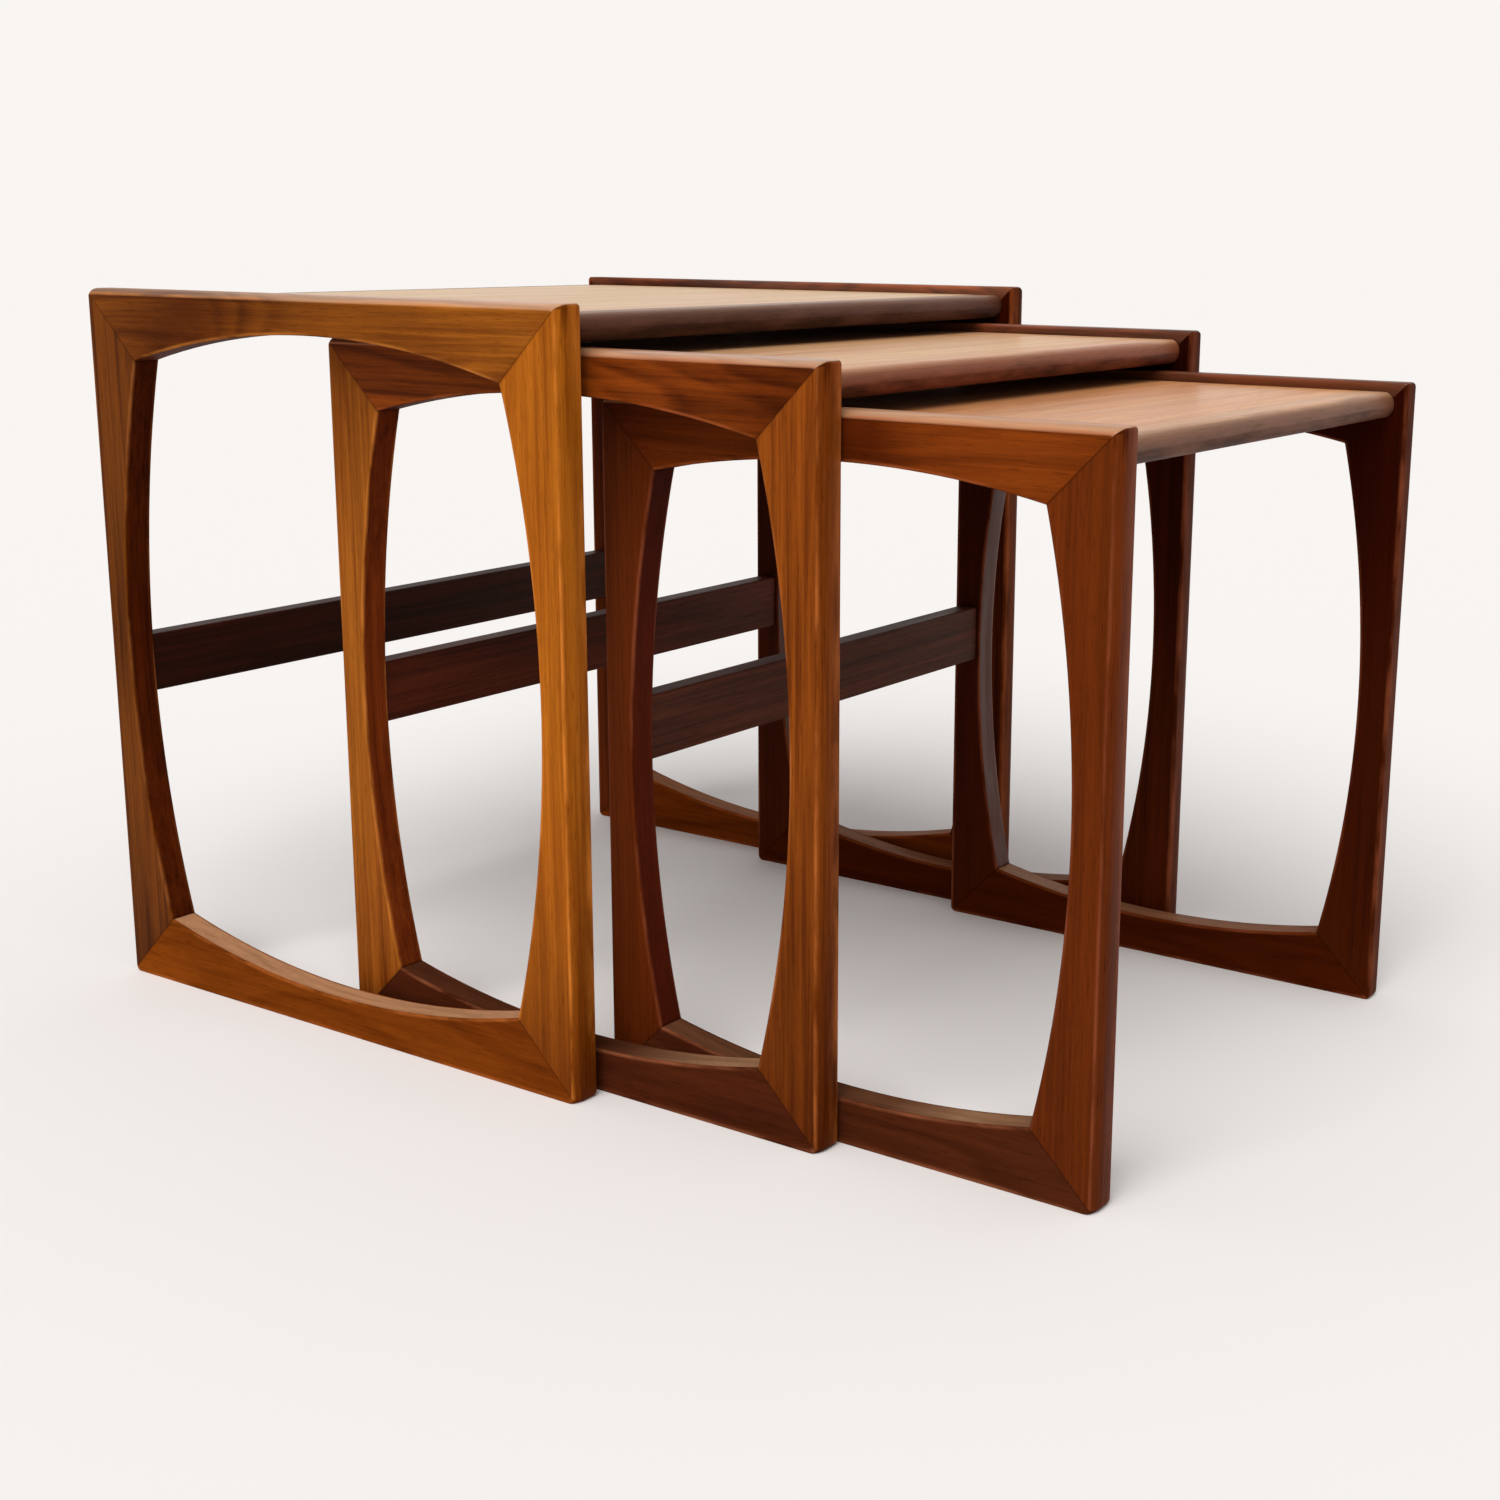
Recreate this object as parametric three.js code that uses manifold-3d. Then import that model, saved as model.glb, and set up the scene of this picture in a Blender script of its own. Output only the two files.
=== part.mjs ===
// Nest of three teak tables: two mitred side frames per table, joined by a bullnosed top and one
// back stretcher.  Millimetres, +Z up.  -Y is the front, the way the smaller tables pull out.
// The origin is on the floor, in the middle of the nest as it stands with both tables pulled out.
import * as THREE from 'three';
import { mergeVertices } from 'three/addons/utils/BufferGeometryUtils.js';
import Module from 'manifold-3d';

const wasm = await Module();
wasm.setup();

// ---------------------------------------------------------------- driving dimensions

// corner: width of every frame member where it meets its neighbour at the mitre.
// pulledOut: how far the table's front stands ahead of the large table's front.
const TABLES = [
  { name: 'large', width: 535, depth: 430, height: 490, corner: 47.5, pulledOut: 0 },
  { name: 'middle', width: 480, depth: 390, height: 463, corner: 45, pulledOut: 165 },
  { name: 'small', width: 434, depth: 350, height: 435, corner: 42.5, pulledOut: 335 },
];

const FRAME_THICKNESS = 20;
const LEG_BOW_RADIUS = 760; // the opening's upright sides bow outwards on this radius
const RAIL_BOW_RADIUS = 640; // and its top and bottom on this one
const CROWN_RADIUS = 15; // the outer edge is crowned on this radius at the front, top and back
const CROWN_REACH = 9; // and this far in, and ends at the outer face in a crease
const INNER_ARRIS = 1.6;
const FOOT_RADIUS = 4;
const HEAD_RADIUS = 2.5;

const SEAT_GAP = 0.3; // glue line between two pieces that touch
const TENON_THICKNESS = 6.6; // secret tenon of each mitre, a third of the frame's thickness
const TENON_TIP = 0.26; // its three edges, as shares of the corner width
const TENON_OUTER_EDGE = 0.33;
const TENON_INNER_EDGE = 0.72;

const TOP_SETDOWN = 6.5; // the frames' crests stand this far above the table top
const TOP_THICKNESS = 17;
const NOSE_SETBACK = 9; // from the frames' front edge to the tip of the bullnose
const NOSE_REACH = 7;
const FRONT_LIPPING_DEPTH = 24;
const BACK_LIPPING_DEPTH = 10;
const BACK_SETBACK = 4;
const BACK_ARRIS = 2;

const STRETCHER_FOOT = 208; // height of the stretcher's lower edge above the floor
const STRETCHER_HEIGHT = 41;
const STRETCHER_THICKNESS = 16;
const STRETCHER_SETBACK = 3.5;
const STRETCHER_ARRIS = 1.5;

const DOWEL_RADIUS = 4;
const DOWEL_IN_FRAME = 12;
const DOWEL_IN_PIECE = 20;
const DOWEL_CHAMFER = 1;
const STRETCHER_DOWEL_SPACING = 20;
const TOP_DOWEL_SPACING = 0.5; // share of the table's depth

const BOW_STEPS = 9; // an arc of a side is drawn in twice this many facets
const NOSE_STEPS = 7;
const CROWN_STEPS = 4;
const CORNER_STEPS = 3;
const DOWEL_SIDES = 12;
const BEYOND = 10; // how far a cutter runs past what it cuts

// ---------------------------------------------------------------- finishes

const FINISHES = {
  frame: { color: 0x9a5220, roughness: 0.48 },
  top: { color: 0xc98f5e, roughness: 0.4 },
  lipping: { color: 0x7a4c30, roughness: 0.45 },
  stretcher: { color: 0x45200f, roughness: 0.55 },
  dowel: { color: 0xd9b98a, roughness: 0.8 },
};

// ---------------------------------------------------------------- solids

// A closed three.js geometry as a solid that can be joined and cut.
function solidOf(geometry) {
  const bare = geometry.clone();
  bare.deleteAttribute('normal');
  bare.deleteAttribute('uv');
  const merged = mergeVertices(bare);
  const vertProperties = new Float32Array(merged.attributes.position.array);
  const triVerts = new Uint32Array(merged.index.array);
  return new wasm.Manifold(new wasm.Mesh({ numProp: 3, vertProperties, triVerts }));
}

function geometryOf(solid) {
  const { vertProperties, triVerts } = solid.getMesh();
  const geometry = new THREE.BufferGeometry();
  geometry.setAttribute('position', new THREE.BufferAttribute(vertProperties, 3));
  geometry.setIndex(new THREE.BufferAttribute(triVerts, 1));
  return geometry;
}

// The same geometry on the other side of the plane x = 0, its faces still pointing out.
function mirrored(geometry) {
  const copy = geometry.clone();
  copy.scale(-1, 1, 1);
  const index = copy.index.array;
  for (let i = 0; i < index.length; i += 3) {
    [index[i + 1], index[i + 2]] = [index[i + 2], index[i + 1]];
  }
  return copy;
}

// Shapes are drawn as the side view, (y, z), and extruded along X from x0 to x1.
function extrudeAcross(shape, x0, x1, curveSegments = 1) {
  const geometry = new THREE.ExtrudeGeometry(shape, {
    depth: x1 - x0,
    bevelEnabled: false,
    curveSegments,
  });
  geometry.translate(0, 0, x0);
  const alongY = new THREE.Vector3(0, 1, 0);
  const alongZ = new THREE.Vector3(0, 0, 1);
  const alongX = new THREE.Vector3(1, 0, 0);
  geometry.applyMatrix4(new THREE.Matrix4().makeBasis(alongY, alongZ, alongX));
  return geometry;
}

// A skin over a stack of outlines, each at its own x.  The outlines are convex, anticlockwise
// lists of (y, z) points, all of the same length.
function loftAcross(sections) {
  const position = [];
  for (const { x, outline } of sections) {
    for (const point of outline) {
      position.push(x, point.x, point.y);
    }
  }
  const count = sections[0].outline.length;
  const last = (sections.length - 1) * count;
  const index = [];
  for (let ring = 0; ring < last; ring += count) {
    for (let i = 0; i < count; i += 1) {
      const here = ring + i;
      const next = ring + ((i + 1) % count);
      index.push(here, next, next + count);
      index.push(here, next + count, here + count);
    }
  }
  for (let i = 1; i < count - 1; i += 1) {
    index.push(0, i + 1, i);
    index.push(last, last + i, last + i + 1);
  }
  const geometry = new THREE.BufferGeometry();
  geometry.setAttribute('position', new THREE.Float32BufferAttribute(position, 3));
  geometry.setIndex(index);
  return geometry;
}

function polygon(...points) {
  return new THREE.Shape(points.map(([y, z]) => new THREE.Vector2(y, z)));
}

function rectangle(y0, y1, z0, z1) {
  return polygon([y0, z0], [y1, z0], [y1, z1], [y0, z1]);
}

// Angles from nought to a right angle.
function quarterTurn(steps) {
  return Array.from({ length: steps + 1 }, (_, i) => ((Math.PI / 2) * i) / steps);
}

// The outline of a rectangle with one radius on its two lower corners and another on its two
// upper ones, anticlockwise.
function roundedOutline(y0, y1, z0, z1, lower, upper = lower) {
  const corners = [
    [y1 - lower, z0 + lower, lower, -Math.PI / 2],
    [y1 - upper, z1 - upper, upper, 0],
    [y0 + upper, z1 - upper, upper, Math.PI / 2],
    [y0 + lower, z0 + lower, lower, Math.PI],
  ];
  const outline = [];
  for (const [y, z, radius, turn] of corners) {
    for (const angle of quarterTurn(CORNER_STEPS)) {
      const across = radius * Math.cos(turn + angle);
      const up = radius * Math.sin(turn + angle);
      outline.push(new THREE.Vector2(y + across, z + up));
    }
  }
  return outline;
}

// ---------------------------------------------------------------- side frame

// The opening of a side frame: four sharp corners, and four sides that bow outwards.
function openingShape({ depth, height, corner }) {
  const halfDepth = depth / 2 - corner;
  const halfHeight = height / 2 - corner;
  const railAngle = Math.asin(halfDepth / RAIL_BOW_RADIUS);
  const legAngle = Math.asin(halfHeight / LEG_BOW_RADIUS);
  const railInset = RAIL_BOW_RADIUS * Math.cos(railAngle);
  const legInset = LEG_BOW_RADIUS * Math.cos(legAngle);
  const shape = new THREE.Shape();
  const side = (y, z, radius, facing, halfAngle) => {
    shape.absarc(y, z, radius, facing - halfAngle, facing + halfAngle);
  };
  side(depth / 2, corner + railInset, RAIL_BOW_RADIUS, -Math.PI / 2, railAngle);
  side(depth - corner - legInset, height / 2, LEG_BOW_RADIUS, 0, legAngle);
  side(depth / 2, height - corner - railInset, RAIL_BOW_RADIUS, Math.PI / 2, railAngle);
  side(corner + legInset, height / 2, LEG_BOW_RADIUS, Math.PI, legAngle);
  return shape;
}

// How far the outline draws in at each depth from the outer face: along the crown at the front,
// top and back, and along the floor, where only the inner arris is rounded.
function frameStations() {
  const stations = [];
  const crownTurn = Math.asin(CROWN_REACH / CROWN_RADIUS);
  for (let i = CROWN_STEPS; i >= 0; i -= 1) {
    const angle = (crownTurn * i) / CROWN_STEPS;
    const depth = CROWN_REACH - CROWN_RADIUS * Math.sin(angle);
    stations.push({ depth, crown: CROWN_RADIUS * (1 - Math.cos(angle)), floor: 0 });
  }
  for (const angle of quarterTurn(CORNER_STEPS)) {
    const inset = INNER_ARRIS * (1 - Math.cos(angle));
    const depth = FRAME_THICKNESS - INNER_ARRIS * (1 - Math.sin(angle));
    stations.push({ depth, crown: inset, floor: inset });
  }
  return stations;
}

// The whole left frame before it is divided into its members.
function frameBlank(table) {
  const outer = -table.width / 2;
  const inner = outer + FRAME_THICKNESS;
  const sections = frameStations().map(({ depth, crown, floor }) => {
    const back = table.depth - crown;
    const crest = table.height - crown;
    const outline = roundedOutline(crown, back, floor, crest, FOOT_RADIUS, HEAD_RADIUS);
    return { x: outer + depth, outline };
  });
  const opening = extrudeAcross(openingShape(table), outer - BEYOND, inner + BEYOND, BOW_STEPS);
  return solidOf(loftAcross(sections)).subtract(solidOf(opening));
}

// What each member keeps of the blank: a triangle whose two long sides are the mitre lines.
function mitreWedges({ depth, height }) {
  const step = (SEAT_GAP / 2) * Math.SQRT2; // half the glue line, measured along Y or Z
  const railTip = depth / 2 - step;
  const legTip = height / 2 - step;
  const out = -BEYOND;
  return {
    bottom_rail: polygon([step + out, out], [depth - step - out, out], [depth / 2, railTip]),
    top_rail: polygon(
      [step + out, height - out],
      [depth / 2, height - railTip],
      [depth - step - out, height - out],
    ),
    front_leg: polygon([out, step + out], [legTip, height / 2], [out, height - step - out]),
    back_leg: polygon(
      [depth - out, step + out],
      [depth - out, height - step - out],
      [depth - legTip, height / 2],
    ),
  };
}

// The secret tenon at one corner of the frame, or its mortise when `gap` makes it larger.
function tenon({ width, depth, height, corner }, atBack, atTop, gap = 0) {
  const tip = TENON_TIP * corner - gap;
  const low = TENON_OUTER_EDGE * corner - gap;
  const high = TENON_INNER_EDGE * corner + gap;
  const [y0, y1] = atBack ? [depth - corner, depth - tip] : [tip, corner];
  const [z0, z1] = atTop ? [height - high, height - low] : [low, high];
  const middle = (FRAME_THICKNESS - width) / 2;
  const half = TENON_THICKNESS / 2 + gap;
  return solidOf(extrudeAcross(rectangle(y0, y1, z0, z1), middle - half, middle + half));
}

// ---------------------------------------------------------------- dowels

function dowelGeometry() {
  const half = (DOWEL_IN_FRAME + DOWEL_IN_PIECE) / 2;
  const profile = [
    [0, -half],
    [DOWEL_RADIUS - DOWEL_CHAMFER, -half],
    [DOWEL_RADIUS, DOWEL_CHAMFER - half],
    [DOWEL_RADIUS, half - DOWEL_CHAMFER],
    [DOWEL_RADIUS - DOWEL_CHAMFER, half],
    [0, half],
  ].map(([r, along]) => new THREE.Vector2(r, along));
  return new THREE.LatheGeometry(profile, DOWEL_SIDES).rotateZ(-Math.PI / 2);
}

// The left-hand dowels of a table: two in the top rail for the top, two in the back leg for the
// stretcher.  Each is given by the point where its axis crosses the frame's inner face.
function dowelPlaces({ width, depth, height }) {
  const x = FRAME_THICKNESS - width / 2;
  const topZ = height - TOP_SETDOWN - TOP_THICKNESS / 2;
  const topStep = (TOP_DOWEL_SPACING * depth) / 2;
  const backY = depth - STRETCHER_SETBACK - STRETCHER_THICKNESS / 2;
  const barZ = STRETCHER_FOOT + STRETCHER_HEIGHT / 2;
  const barStep = STRETCHER_DOWEL_SPACING / 2;
  return {
    top_dowel_front: new THREE.Vector3(x, depth / 2 - topStep, topZ),
    top_dowel_back: new THREE.Vector3(x, depth / 2 + topStep, topZ),
    stretcher_dowel_upper: new THREE.Vector3(x, backY, barZ + barStep),
    stretcher_dowel_lower: new THREE.Vector3(x, backY, barZ - barStep),
  };
}

// The hole for a dowel, as deep on both sides of the joint as the dowel and the glue line need.
function dowelHole(place) {
  const length = DOWEL_IN_FRAME + DOWEL_IN_PIECE + 2 * SEAT_GAP;
  const radius = DOWEL_RADIUS + SEAT_GAP;
  const hole = new THREE.CylinderGeometry(radius, radius, length, DOWEL_SIDES);
  hole.rotateZ(-Math.PI / 2);
  hole.translate(place.x + dowelShift(), place.y, place.z);
  return solidOf(hole);
}

// From the joint to the middle of the dowel.
function dowelShift() {
  return (DOWEL_IN_PIECE - DOWEL_IN_FRAME) / 2;
}

// ---------------------------------------------------------------- one table

function material(finish) {
  return new THREE.MeshStandardMaterial({ ...FINISHES[finish], metalness: 0 });
}

function addMesh(group, name, geometry, finish) {
  geometry.computeVertexNormals();
  const mesh = new THREE.Mesh(geometry, material(finish));
  mesh.name = name;
  group.add(mesh);
  return mesh;
}

function addToBothSides(group, name, solid, finish) {
  const left = geometryOf(solid);
  addMesh(group, name.replace('SIDE', 'left'), left, finish);
  addMesh(group, name.replace('SIDE', 'right'), mirrored(left), finish);
}

function addSideFrames(group, table, places) {
  const blank = frameBlank(table);
  const outer = -table.width / 2;
  const reach = [outer - BEYOND, outer + FRAME_THICKNESS + BEYOND];
  for (const [member, wedge] of Object.entries(mitreWedges(table))) {
    let solid = blank.intersect(solidOf(extrudeAcross(wedge, ...reach)));
    if (member.endsWith('rail')) {
      for (const atBack of [false, true]) {
        solid = solid.add(tenon(table, atBack, member === 'top_rail'));
      }
    } else {
      for (const atTop of [false, true]) {
        solid = solid.subtract(tenon(table, member === 'back_leg', atTop, SEAT_GAP));
      }
    }
    if (member === 'top_rail') {
      solid = solid.subtract(dowelHole(places.top_dowel_front));
      solid = solid.subtract(dowelHole(places.top_dowel_back));
    }
    if (member === 'back_leg') {
      solid = solid.subtract(dowelHole(places.stretcher_dowel_upper));
      solid = solid.subtract(dowelHole(places.stretcher_dowel_lower));
    }
    addToBothSides(group, `${table.name}_SIDE_${member}`, solid, 'frame');
  }
}

// Cuts the holes for a pair of dowels into both ends of a piece that spans the frames.
function drilledAtBothEnds(solid, ...places) {
  let drilled = solid;
  for (const place of places) {
    const hole = dowelHole(place);
    drilled = drilled.subtract(hole).subtract(solidOf(mirrored(geometryOf(hole))));
  }
  return drilled;
}

function addTop(group, table, places) {
  const half = table.width / 2 - FRAME_THICKNESS - SEAT_GAP;
  const top = table.height - TOP_SETDOWN;
  const under = top - TOP_THICKNESS;
  const noseRoot = NOSE_SETBACK + NOSE_REACH;
  const lippingBack = NOSE_SETBACK + FRONT_LIPPING_DEPTH;
  const backEdge = table.depth - BACK_SETBACK;

  const nose = new THREE.Shape();
  nose.moveTo(lippingBack, under);
  nose.lineTo(lippingBack, top);
  nose.lineTo(noseRoot, top);
  nose.absellipse(noseRoot, (top + under) / 2, NOSE_REACH, TOP_THICKNESS / 2, Math.PI / 2, 1.5 * Math.PI);
  const front = extrudeAcross(nose, -half, half, NOSE_STEPS);
  addMesh(group, `${table.name}_front_lipping`, front, 'lipping');

  const board = rectangle(lippingBack + SEAT_GAP, backEdge - BACK_LIPPING_DEPTH - SEAT_GAP, under, top);
  const panel = drilledAtBothEnds(
    solidOf(extrudeAcross(board, -half, half)),
    places.top_dowel_front,
    places.top_dowel_back,
  );
  addMesh(group, `${table.name}_top_panel`, geometryOf(panel), 'top');

  const rear = new THREE.Shape(
    roundedOutline(backEdge - BACK_LIPPING_DEPTH, backEdge, under, top, BACK_ARRIS),
  );
  addMesh(group, `${table.name}_back_lipping`, extrudeAcross(rear, -half, half), 'lipping');
}

function addStretcher(group, table, places) {
  const half = table.width / 2 - FRAME_THICKNESS - SEAT_GAP;
  const back = table.depth - STRETCHER_SETBACK;
  const front = back - STRETCHER_THICKNESS;
  const upper = STRETCHER_FOOT + STRETCHER_HEIGHT;
  const section = new THREE.Shape(
    roundedOutline(front, back, STRETCHER_FOOT, upper, STRETCHER_ARRIS),
  );
  const bar = drilledAtBothEnds(
    solidOf(extrudeAcross(section, -half, half)),
    places.stretcher_dowel_upper,
    places.stretcher_dowel_lower,
  );
  addMesh(group, `${table.name}_stretcher`, geometryOf(bar), 'stretcher');
}

function addDowels(group, table, places) {
  for (const [name, place] of Object.entries(places)) {
    for (const [side, sign] of [['left', 1], ['right', -1]]) {
      const dowel = addMesh(group, `${table.name}_${side}_${name}`, dowelGeometry(), 'dowel');
      dowel.position.set(sign * (place.x + dowelShift()), place.y, place.z);
    }
  }
}

function makeTable(table) {
  const group = new THREE.Group();
  const places = dowelPlaces(table);
  addSideFrames(group, table, places);
  addTop(group, table, places);
  addStretcher(group, table, places);
  addDowels(group, table, places);
  return group;
}

// ---------------------------------------------------------------- the nest

const backOfNest = Math.max(...TABLES.map((table) => table.depth - table.pulledOut));
const frontOfNest = Math.min(...TABLES.map((table) => -table.pulledOut));
const nest = new THREE.Group();
for (const table of TABLES) {
  const group = makeTable(table);
  group.position.y = -table.pulledOut - (backOfNest + frontOfNest) / 2;
  nest.add(group);
}

export default nest;
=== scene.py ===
"""Looks of a nest of three teak tables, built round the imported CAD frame.

Metres, +Z up, -Y is the front.  Every frame member, top and stretcher gets a finer mesh with eased
arrises, and each board has its own wood, worked out from growth rings round a pith line.
"""
import math
from collections import namedtuple

import bpy
from mathutils import Euler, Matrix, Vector


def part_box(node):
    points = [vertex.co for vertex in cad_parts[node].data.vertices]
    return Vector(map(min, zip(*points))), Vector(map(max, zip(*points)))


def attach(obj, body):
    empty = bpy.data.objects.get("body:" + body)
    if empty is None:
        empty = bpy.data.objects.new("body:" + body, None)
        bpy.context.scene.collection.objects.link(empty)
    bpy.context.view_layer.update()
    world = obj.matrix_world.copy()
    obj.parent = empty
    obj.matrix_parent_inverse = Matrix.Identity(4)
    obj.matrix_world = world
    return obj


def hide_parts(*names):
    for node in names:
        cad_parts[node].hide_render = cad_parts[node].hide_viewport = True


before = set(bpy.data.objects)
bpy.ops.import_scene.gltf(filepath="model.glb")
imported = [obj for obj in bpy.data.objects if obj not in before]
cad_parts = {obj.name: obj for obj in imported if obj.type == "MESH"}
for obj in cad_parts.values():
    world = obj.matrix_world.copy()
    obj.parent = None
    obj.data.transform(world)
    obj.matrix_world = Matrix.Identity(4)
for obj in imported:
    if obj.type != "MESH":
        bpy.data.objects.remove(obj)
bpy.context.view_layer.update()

MM = 0.001
TABLES = ("large", "middle", "small")
SIDES = ("left", "right")
MEMBERS = ("front_leg", "back_leg", "bottom_rail", "top_rail")

# ---------------------------------------------------------------- dimensions

LEG_BOW_RADIUS = 760 * MM
RAIL_BOW_RADIUS = 640 * MM
CROWN_RADIUS = 15 * MM
CROWN_REACH = 9 * MM
CROWN_DROP = CROWN_RADIUS - math.sqrt(CROWN_RADIUS**2 - CROWN_REACH**2)
CREASE_RADIUS = 0.7 * MM
FOOT_RADIUS = 4 * MM
HEAD_RADIUS = 2.5 * MM
INNER_ARRIS = 1.6 * MM
OPENING_ARRIS = 0.9 * MM
FLOOR_ARRIS = 0.8 * MM
MITRE_ARRIS = 0.15 * MM
BOARD_ARRIS = 0.3 * MM
STRETCHER_ARRIS = 1.5 * MM
BACK_ARRIS = 2 * MM
NOSE_REACH = 7 * MM
SUPPORT = 1.5 * MM  # how far from an arris the flat face's own row of points lies

CROWN_STEPS = 8
ARRIS_STEPS = 3
CORNER_STEPS = 4
BOW_STEPS = 26
NOSE_STEPS = 20
# Next to a mitre a bowed edge has closer points, at these shares of its length.
MITRE_SHARES = (0, 0.005, 0.013, 0.026, 0.045)
SHARP_ANGLE = math.radians(50)

# ---------------------------------------------------------------- painted shade and highlight, wax and wear

# A shade says how far the colour is darkened as painted shade: 0 fully lit, 1 in the deepest shade.
# On the crowned edges of the legs and of the top rails:
FRONT_SHADE = {
    "left": {"large": 0.15, "middle": 0.4, "small": 0.05},
    "right": {"large": 0.3, "middle": 0.1, "small": 0.45},
}
CREST_SHADE = {"left": 0.0, "right": 0.5}
# On the faces towards the inside of a table:
INNER_SHADE = {
    "leg": {"large": 0.65, "middle": 0.65, "small": 0.75},
    "bottom_rail": {"large": 0.35, "middle": 0.7, "small": 0.7},
    "top_rail": {"large": 1.0, "middle": 1.0, "small": 1.0},
}
# On the edges in the opening, which face down on the top rails and up on the bottom rails:
OPENING_SHADE = {"leg": 0.5, "top_rail": 0.9, "bottom_rail": 0.1}

# How the shade changes along a member, as (share, shade) points from the floor to the head or from
# the front to the back: partly darker streaks of the wood, partly painted shade and shadow, such as
# under the tops and from the middle table's leg across the small table's top rail.
TONES = {
    ("large", "front_leg"): ((0, 0.85), (0.2, 0.35), (0.45, 0), (1, 0.05)),
    ("large", "back_leg"): ((0, 0.5), (0.15, 0.1), (0.3, 0), (0.5, 0.35), (0.75, 0), (1, 0)),
    ("large", "top_rail"): ((0, 0), (0.2, 0), (0.3, 0.3), (0.6, 0.6), (0.75, 0.9), (1, 0.5)),
    ("large", "bottom_rail"): ((0, 0.5), (0.8, 0.5), (1, 0.3)),
    ("middle", "front_leg"): ((0, 0.75), (0.2, 0.45), (0.45, 0), (1, 0.05)),
    ("middle", "back_leg"): ((0, 0.4), (0.2, 0.05), (0.7, 0), (0.9, 0.35), (1, 0.4)),
    ("middle", "top_rail"): ((0, 0.45), (0.07, 0.65), (0.14, 0.35), (0.3, 0), (1, 0)),
    ("middle", "bottom_rail"): ((0, 0.75), (1, 0.75)),
    ("small", "front_leg"): ((0, 0.2), (0.3, 0.1), (1, 0)),
    ("small", "back_leg"): ((0, 0.3), (0.3, 0.15), (0.6, 0), (0.85, 0.4), (1, 0.6)),
    ("small", "top_rail"): (
        (0, 0.4), (0.15, 0.05), (0.35, 0.2), (0.43, 0.75), (0.7, 0.45), (1, 0.9),
    ),
    ("small", "bottom_rail"): ((0, 0.72), (1, 0.72)),
}
# The right-hand frames have the left-hand ones' tones only in their top rails; their legs take
# painted shade towards the head.
RIGHT_TONES = {
    "leg": ((0, 0), (0.5, 0), (0.85, 0.4), (1, 0.5)),
    "bottom_rail": ((0, 0), (1, 0)),
}
# The top shades the legs further, on their edges in the opening and on their inner faces.
JAMB_TONE = ((0, 0), (0.65, 0.1), (0.9, 0.5), (1, 0.6))
INNER_TONE = ((0, 0), (0.5, 0.35), (0.85, 1), (1, 1))
HEAD_TONE = 0.7  # painted shade on the heads of the legs' crowned edges
HEAD_REACH = 3.5 * MM

# Wax and highlight say how thickly a face is waxed and how far it is painted paler as a highlight:
# on the top rails' and the bottom rails' upper edges, as (share, amount) points from front to back,
# ...
TOP_WAX_AND_HIGHLIGHT = ((0, 1), (0.45, 1), (0.8, 0.4), (1, 0.4))
FLOOR_WAX_AND_HIGHLIGHT = {
    ("large", "left"): ((0, 1), (1, 0.9)),
    ("large", "right"): ((0, 0.5), (1, 0.5)),
    ("middle", "left"): ((0, 0.8), (0.2, 0.7), (0.4, 0.05), (1, 0.05)),
    ("middle", "right"): ((0, 0.5), (1, 0.5)),
    ("small", "left"): ((0, 0.3), (0.12, 0.4), (0.25, 0.7), (0.4, 0.15), (1, 0.15)),
    ("small", "right"): ((0, 0.3), (0.4, 0.6), (1, 1)),
}
# ... on a top and its front lipping, from the upper face down to the underside, ...
BOARD_WAX_AND_HIGHLIGHT = ((0, 1), (0.03, 0.85), (0.1, 0.4), (0.2, 0.15), (0.5, 0.03), (1, 0))
# ... and on the right-hand legs' edges in the opening.
RIGHT_JAMB_POLISH = {"large": 0.5, "middle": 0.5, "small": 1.0}

# How far the underside of a top and of its front lipping takes painted shade, and their upper face
# wax and a painted highlight.
TOP_CONTRAST = 1.0
LIPPING_CONTRAST = 0.8

# How worn the edges are, where the arrises of the frames count as 1.
CROWN_WEAR = 0.3
NOSE_WEAR = 0.9
BACK_WEAR = 0.6
STRETCHER_WEAR = 0.2


def interpolate(profile, share):
    """The value at a share of the way along a profile of (share, value) points."""
    for (begin, first), (end, second) in zip(profile, profile[1:]):
        if share <= end:
            return first + (second - first) * (share - begin) / (end - begin)
    return profile[-1][1]


# ---------------------------------------------------------------- mesh helpers


def quarter(steps):
    """Angles from nought to a right angle."""
    return [math.pi / 2 * i / steps for i in range(steps + 1)]


def signed_volume(mesh):
    """Six times the volume inside a closed mesh, below nought if its faces look inwards."""
    mesh.calc_loop_triangles()
    corners = [v.co for v in mesh.vertices]
    return sum(
        corners[a].dot(corners[b].cross(corners[c]))
        for a, b, c in (triangle.vertices for triangle in mesh.loop_triangles)
    )


def make_piece(node, rings, marks, material):
    """Skins a list of closed rings of points, caps both ends, notes the marks that the material
    reads at each point and puts the piece in its CAD node's place."""
    count = len(rings[0])
    points = [point for ring in rings for point in ring]
    faces = []
    for ring in range(len(rings) - 1):
        for i in range(count):
            here, after = ring * count + i, ring * count + (i + 1) % count
            faces.append((here, after, after + count, here + count))
    faces.append(tuple(reversed(range(count))))
    faces.append(tuple(range(len(points) - count, len(points))))

    name = f"{node}_wood"
    mesh = bpy.data.meshes.new(name)
    mesh.from_pydata(points, [], faces)
    mesh.validate()
    if signed_volume(mesh) < 0:
        mesh.flip_normals()
    for label, values in marks.items():
        layer = mesh.attributes.new(label, "FLOAT", "POINT")
        layer.data.foreach_set("value", values)
    mesh.shade_smooth()
    mesh.set_sharp_from_angle(angle=SHARP_ANGLE)
    mesh.materials.append(material)

    piece = bpy.data.objects.new(name, mesh)
    bpy.context.scene.collection.objects.link(piece)
    body = node.split("_")[0] + "_table"
    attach(piece, body)
    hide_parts(node)


# ---------------------------------------------------------------- side frames

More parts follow.
